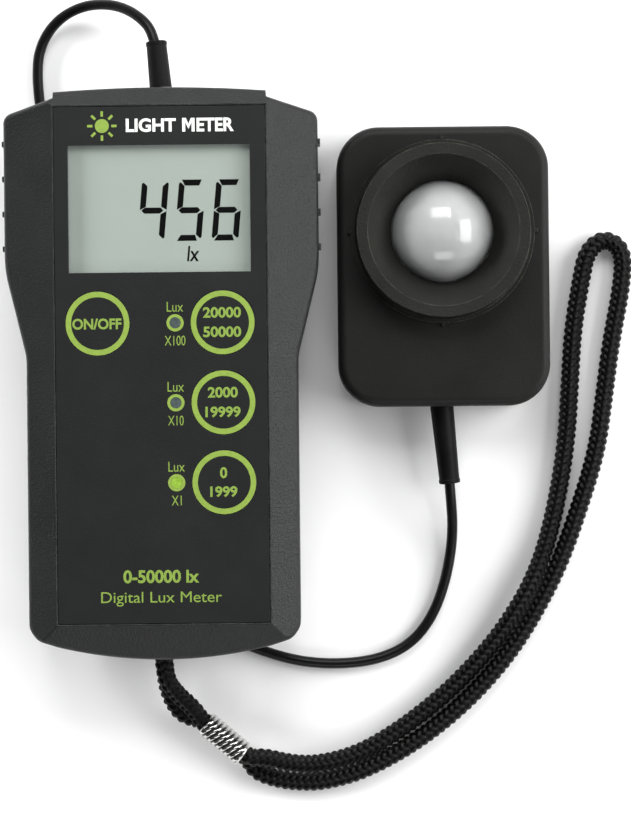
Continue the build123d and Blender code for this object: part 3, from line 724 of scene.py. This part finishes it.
def add_filament_uv(mesh, rings, around, along):
    """UVs that run along each yarn: first across its filaments, then along them."""
    index = np.empty(len(mesh.loops), np.int64)
    mesh.loops.foreach_get("vertex_index", index)
    ring, step = index // around, index % around
    column = step // YARN_STEPS
    across = (step % YARN_STEPS + 0.5) / YARN_STEPS
    lean = np.where(column % 2 == 0, 1.0, -1.0)
    place = along[np.clip(ring, 0, rings - 1)]
    uv = np.stack([place / YARN_PITCH + lean * across * YARN_SLANT, across + column], axis=1)
    layer = mesh.uv_layers.new(name="filaments")
    layer.data.foreach_set("uv", uv.astype(np.float32).ravel())


FERRULE_HALF = 2.45            # from the middle to the centre of each rounded end, upright
FERRULE_RADIUS = 3.1
FERRULE_BORE = 2.55
FERRULE_PITCH = 1.36
FERRULE_DEPTH = 0.3
FERRULE_SLANT = 0.36


def stadium(count):
    """Points round an upright stadium: (sideways, upright) of its spine, and the way out."""
    straight, bend = 2 * FERRULE_HALF, math.pi * FERRULE_RADIUS
    total = 2 * (straight + bend)
    rows = []
    for i in range(count):
        s = total * i / count
        half, s = (0, s) if s < total / 2 else (1, s - total / 2)
        if s < straight:
            spine, turn = s - straight / 2, 0.0
        else:
            spine, turn = straight / 2, (s - straight) / FERRULE_RADIUS
        flip = 1 - 2 * half
        rows.append((flip * spine, flip * math.cos(turn), flip * math.sin(turn)))
    return np.array(rows)


def ferrule_mesh():
    """A crimped sleeve with slanting grooves and turned-in lips, open at both ends."""
    around, rings = 112, 150
    rows = stadium(around)
    half = FERRULE_LENGTH / 2
    places = np.linspace(-half, half, rings)
    lip = 0.5 * np.clip((np.abs(places) - half + 0.5) / 0.5, 0, 1) ** 2
    sideways = rows[:, 1] * FERRULE_RADIUS
    phase = (places[:, None] - FERRULE_SLANT * sideways[None, :]) / FERRULE_PITCH
    groove = FERRULE_DEPTH * (0.5 + 0.5 * np.cos(2 * np.pi * phase)) ** 1.6
    fade = np.clip((half - np.abs(places)) / 1.0, 0, 1)[:, None]
    outer = FERRULE_RADIUS - groove * fade - lip[:, None]
    inner = np.full((rings, around), FERRULE_BORE)
    radius = np.concatenate([outer, inner[::-1]])
    where = np.concatenate([places, places[::-1]])
    axis = np.array([math.cos(FERRULE_ANGLE), math.sin(FERRULE_ANGLE), 0.0])
    side = np.array([-math.sin(FERRULE_ANGLE), math.cos(FERRULE_ANGLE), 0.0])
    upright = np.array([0.0, 0.0, 1.0])
    points = (
        np.array(FERRULE_CENTRE)
        + where[:, None, None] * axis
        + (rows[:, 1] * radius)[:, :, None] * side
        + (rows[:, 0] + rows[:, 2] * radius)[:, :, None] * upright
    )
    points = points.reshape(-1, 3) * MM
    faces = grid_faces(2 * rings, around)
    closing = grid_faces(2, around)
    last = (2 * rings - 1) * around
    closing = np.where(closing >= around, closing - around, closing + last)
    mesh = mesh_from("strap_ferrule_crimped", points, np.concatenate([faces, closing]), smooth=True)
    shade = np.concatenate([groove * fade / FERRULE_DEPTH, np.zeros_like(inner)])
    mesh.attributes.new("groove", "FLOAT", "POINT").data.foreach_set("value", shade.ravel())
    return mesh


def add_cords():
    lead_curve = cord_curve("sensor_lead_cable", LEAD_ROUTE)
    lead_path = line_of(lead_curve)
    lead_curve.bevel_depth = LEAD_DIAMETER / 2 * MM
    lead_curve.bevel_resolution = 10
    lead_curve.use_fill_caps = True
    jacket = rubber("lead_jacket", "080808", "0e0e0e", 0.36)
    lead = add_piece("sensor_lead_cable", lead_curve, jacket)
    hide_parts("sensor_lead")
    ferrule = add_piece("strap_ferrule_crimped", ferrule_mesh(), chrome())
    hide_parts("strap_ferrule")
    strap, strap_path = wrist_strap()


# ---------------------------------------------------------------- printing and figures

FACE_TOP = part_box("keypad_overlay")[1].z
INK_HEIGHT = 0.012 * MM


def lettering(text, width, height, bold=0.0, shear=0.0):
    """Flat letters as points and faces in millimetres, filling a box about the origin."""
    curve = bpy.data.curves.new("lettering", "FONT")
    curve.body = text
    curve.size = 10.0
    curve.offset = bold
    curve.shear = shear
    curve.resolution_u = 6
    holder = bpy.data.objects.new("lettering", curve)
    scene.collection.objects.link(holder)
    bpy.context.view_layer.update()
    mesh = bpy.data.meshes.new_from_object(holder.evaluated_get(bpy.context.evaluated_depsgraph_get()))
    points = np.array([v.co[:2] for v in mesh.vertices])
    faces = [tuple(p.vertices) for p in mesh.polygons]
    bpy.data.objects.remove(holder)
    bpy.data.meshes.remove(mesh)
    low, high = points.min(0), points.max(0)
    points = (points - (low + high) / 2) * (width, height) / (high - low)
    return points, faces


def capital_m(width, height, stroke):
    """A bold M about the origin: the font's own one folds over itself when it is thickened."""
    left, foot, valley = -width / 2, -height / 2, -0.12 * height
    half = [
        (left, foot),
        (left, -foot),
        (left + 1.25 * stroke, -foot),
        (0.0, valley + 0.75 * stroke),
    ]
    inside = [(left + stroke, foot), (left + stroke, 0.22 * height), (0.0, valley - 0.85 * stroke)]
    top = half + [(-x, y) for x, y in half[2::-1]]
    bottom = [(-x, y) for x, y in inside[:2]] + inside[2:] + inside[1::-1]
    points = np.array(top + bottom)
    return points, [tuple(range(len(points)))]


def ring(outer, inner, count=96):
    """A flat ring, or a disc where the inner radius is nought."""
    angle = 2 * np.pi * np.arange(count) / count
    circle = np.stack([np.cos(angle), np.sin(angle)], axis=1)
    if inner == 0:
        return circle * outer, [tuple(range(count))]
    return np.concatenate([circle * outer, circle * inner]), [
        (i, (i + 1) % count, count + (i + 1) % count, count + i) for i in range(count)
    ]


def at(shape, x, y):
    points, faces = shape
    return points + (x, y), faces


def flat_mesh(name, shapes, z):
    """Thin printed shapes at one height, joined into one mesh."""
    points, faces = [], []
    for shape_points, shape_faces in shapes:
        start = len(points)
        points.extend((x * MM, y * MM, z) for x, y in shape_points)
        faces.extend(tuple(start + i for i in face) for face in shape_faces)
    mesh = mesh_from(name, points, faces)
    for polygon in mesh.polygons:
        if polygon.normal.z < 0:
            polygon.flip()
    return mesh


def sun(x, y):
    """A small generic sun: a disc and eight rays."""
    shapes = [at(ring(1.75, 0, 48), x, y)]
    for turn in range(8):
        angle = math.pi / 4 * turn
        out = np.array([math.cos(angle), math.sin(angle)])
        side = np.array([-out[1], out[0]]) * 0.32
        ray = np.array([out * 2.35 - side, out * 3.7 - side, out * 3.7 + side, out * 2.35 + side])
        shapes.append(at((ray, [(0, 1, 2, 3)]), x, y))
    return shapes


KEY_PRINT = {
    "on_off": [("ON/OFF", 12.3, 2.75, -0.1)],
    "range_high": [("20000", 9.5, 2.7, 2.5), ("50000", 9.5, 2.7, -2.35)],
    "range_mid": [("2000", 7.5, 2.7, 2.5), ("19999", 8.8, 2.7, -2.4)],
    "range_low": [("0", 1.8, 2.8, 2.4), ("1999", 6.8, 2.7, -2.35)],
}
RING_OUTER = 7.97
RING_INNER = 6.6
LIGHT_NAMES = {"x100": ("X100", 5.2), "x10": ("X10", 3.9), "x1": ("X1", 2.5)}
BOLD = 0.3
TITLE_Y = 62.1
TITLE_HEIGHT = 3.4
TITLE_LETTERS = [("LIGHT", 12.5, -2.05), ("ETER", 9.3, 14.05)]     # text, width, middle
TITLE_M_WIDTH = 3.1
TITLE_M_X = 7.35
TITLE_STROKE = 0.75
SUN_PLACE = (-14.3, 62.0)


def printed(name, mesh, material, body=ROOT):
    """A layer of ink: too thin to throw a shadow."""
    piece = add_piece(name, mesh, material, body)
    piece.visible_shadow = False


def add_face_print():
    green = ink("green_ink", "809a42", "79923e")
    pale_green = ink("pale_green_ink", "7b9540", "738c3c")
    white = ink("white_ink", "f4f4f2", "e6e6e4")
    z = FACE_TOP + INK_HEIGHT
    for key, lines in KEY_PRINT.items():
        centre = centre_of(f"{key}_key") / MM
        circle = flat_mesh(f"{key}_ring", [at(ring(RING_OUTER, RING_INNER), centre.x, centre.y)], z)
        printed(f"{key}_ring", circle, green, f"{key}_key")
        words = [
            at(lettering(text, width, height, BOLD), centre.x - 0.15, centre.y + rise)
            for text, width, height, rise in lines
        ]
        printed(f"{key}_figures", flat_mesh(f"{key}_figures", words, z), pale_green, f"{key}_key")
    words, rings = [], []
    for light, (text, width) in LIGHT_NAMES.items():
        centre = centre_of(f"range_light_{light}") / MM
        words.append(at(lettering("Lux", 4.1, 2.5), centre.x, centre.y + 4.0))
        words.append(at(lettering(text, width, 2.45), centre.x - 0.05, centre.y - 4.45))
        rings.append(at(ring(2.15, 1.42, 64), centre.x, centre.y))
    words.append(at(lettering("0-50000 lx", 19.0, 3.3, BOLD), -0.6, -50.8))
    words.append(at(lettering("Digital Lux Meter", 30.2, 3.6), -0.6, -56.4))
    printed("light_rings", flat_mesh("light_rings", rings, z), green)
    printed("face_words", flat_mesh("face_words", words, z), pale_green)
    printed("face_sun", flat_mesh("face_sun", sun(*SUN_PLACE), z), green)
    title = [
        at(lettering(text, width, TITLE_HEIGHT, BOLD), middle, TITLE_Y)
        for text, width, middle in TITLE_LETTERS
    ]
    title.append(at(capital_m(TITLE_M_WIDTH, TITLE_HEIGHT, TITLE_STROKE), TITLE_M_X, TITLE_Y))
    printed("face_title", flat_mesh("face_title", title, z), white)


FIGURE_WIDTH = 6.75
FIGURE_HEIGHT = 15.35
FIGURE_SLANT = 0.092
FIGURE_PITCH = 9.3
BAR = 1.5                      # height of a level segment
STEM = 1.46                    # width of an upright segment
READING = "456"
READING_CORNER = (12.75, 33.15)  # lower left corner of its last figure
SEGMENTS = {"4": "bcfg", "5": "acdfg", "6": "acdefg"}


def segment(name):
    """One segment's outline, before the figure is slanted."""
    w, h = FIGURE_WIDTH, FIGURE_HEIGHT
    middle = h / 2
    if name == "a":
        return [(0.65, h), (w - 1.1, h), (w - 1.65, h - BAR), (1.5, h - BAR)]
    if name == "d":
        return [(x, h - y) for x, y in segment("a")][::-1]
    if name == "g":
        reach = BAR / 2
        return [
            (0.4, middle),
            (1.2, middle + reach),
            (w - 1.6, middle + reach),
            (w - 0.85, middle),
            (w - 1.6, middle - reach),
            (1.2, middle - reach),
        ]
    if name == "f":
        return [
            (0.0, middle + 0.15),
            (STEM, middle + 0.95),
            (STEM, h - 1.6),
            (0.4, h - 0.62),
            (0.0, h - 0.95),
        ]
    if name == "e":
        return [(x, h - y) for x, y in segment("f")][::-1]
    return [(w - x, y) for x, y in segment("f" if name == "b" else "e")][::-1]


def figure(digit, x, y):
    """A slanted seven-segment figure whose lower left corner is at a point."""
    shapes = []
    for name in SEGMENTS[digit]:
        outline = np.array(segment(name))
        outline[:, 0] += outline[:, 1] * FIGURE_SLANT
        shapes.append(at((outline, [tuple(range(len(outline)))]), x, y))
    return shapes


def add_display_figures():
    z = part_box("lcd_glass")[1].z + INK_HEIGHT
    shapes = []
    last_x, base = READING_CORNER
    for place, digit in enumerate(READING):
        shapes += figure(digit, last_x + (place - 2) * FIGURE_PITCH, base)
    shapes.append(at(lettering("lx", 3.1, 3.85, 0.12, 0.12), 8.15, 29.95))
    figures = flat_mesh("display_figures", shapes, z)
    add_piece("display_figures", figures, liquid_crystal())


# ---------------------------------------------------------------- CAD nodes


def finish_nodes():
    """Gives every CAD node its material."""
    case = case_plastic()
    film = face_film()
    probe = probe_plastic()
    black_rubber = rubber("black_rubber", "090909", "101010", 0.5, shine=0.15)
    steel = zinc_steel()
    resin = chip_resin()
    lamp_off = lamp_plastic("lamp_off", "394343", "4c5656")
    # Its edges too are painted lighter: a painted highlight.
    moulding = grained_plastic("white_moulding", "c9cac6", "d5d6d2", 0.5)
    by_material = [
        (case, ["front_shell", "rear_shell", "battery_door"]),
        (film, ["keypad_overlay", "on_off_key", "range_high_key", "range_mid_key", "range_low_key"]),
        (window_plastic(), ["display_window"]),
        (display_cell(), ["lcd_glass"]),
        (moulding, ["lcd_frame", "sensor_socket"]),
        (moulding, [f"{key}_plunger" for key in KEY_PRINT]),
        (black_rubber, ["zebra_strips", "meter_boot", "probe_boot", "battery_snap"]),
        (circuit_board(), ["main_pcb", "probe_pcb"]),
        (resin, ["circuit_parts", "tactile_switches"]),
        (steel, ["case_screws", "pcb_screws", "probe_screws", "strap_bar"]),
        (zinc_steel("sensor_can", "b4a98c", "cfc6aa"), ["photodiode"]),
        (battery_sleeve(), ["battery"]),
        (foam(), ["battery_pad"]),
        (rubber("wire_jacket", "7c1512", "8f1c18", 0.4), ["battery_leads"]),
        (rubber("pale_ring", "8d8f90", "a3a5a6", 0.5), ["lead_ring"]),
        (lamp_off, ["range_light_x100", "range_light_x10"]),
        (lamp_plastic("lamp_lit", "74952e", "88ab3e", 0.06), ["range_light_x1"]),
        (lamp_plastic("lamp_chip", "c8c060", "e0da90"), ["led_chips"]),
        (probe, ["probe_housing", "probe_back_cover", "filter_holder"]),
        (collar_plastic(), ["probe_collar"]),
        (opal_plastic(), ["diffuser_dome"]),
        (pale_glass(), ["filter_glass"]),
    ]
    for material, names in by_material:
        for name in names:
            node = nodes[name]
            node.data.materials.clear()
            node.data.materials.append(material)


# ---------------------------------------------------------------- the scene

FLOOR_HALF = 3.0


def add_floor():
    half = FLOOR_HALF
    corners = [(-half, -half, 0.0), (half, -half, 0.0), (half, half, 0.0), (-half, half, 0.0)]
    mesh = mesh_from("floor", corners, [(0, 1, 2, 3)])
    floor = bpy.data.objects.new("floor", mesh)
    scene.collection.objects.link(floor)
    mesh.materials.append(floor_paint())


scene.view_settings.view_transform = "Standard"
add_camera()
add_cords()
add_floor()
add_world(left=0.15, right=0.5, near=0.08, overhead=0.4)
for light in SOFT_BOXES:
    add_light(*light)
finish_nodes()
add_face_print()
add_display_figures()
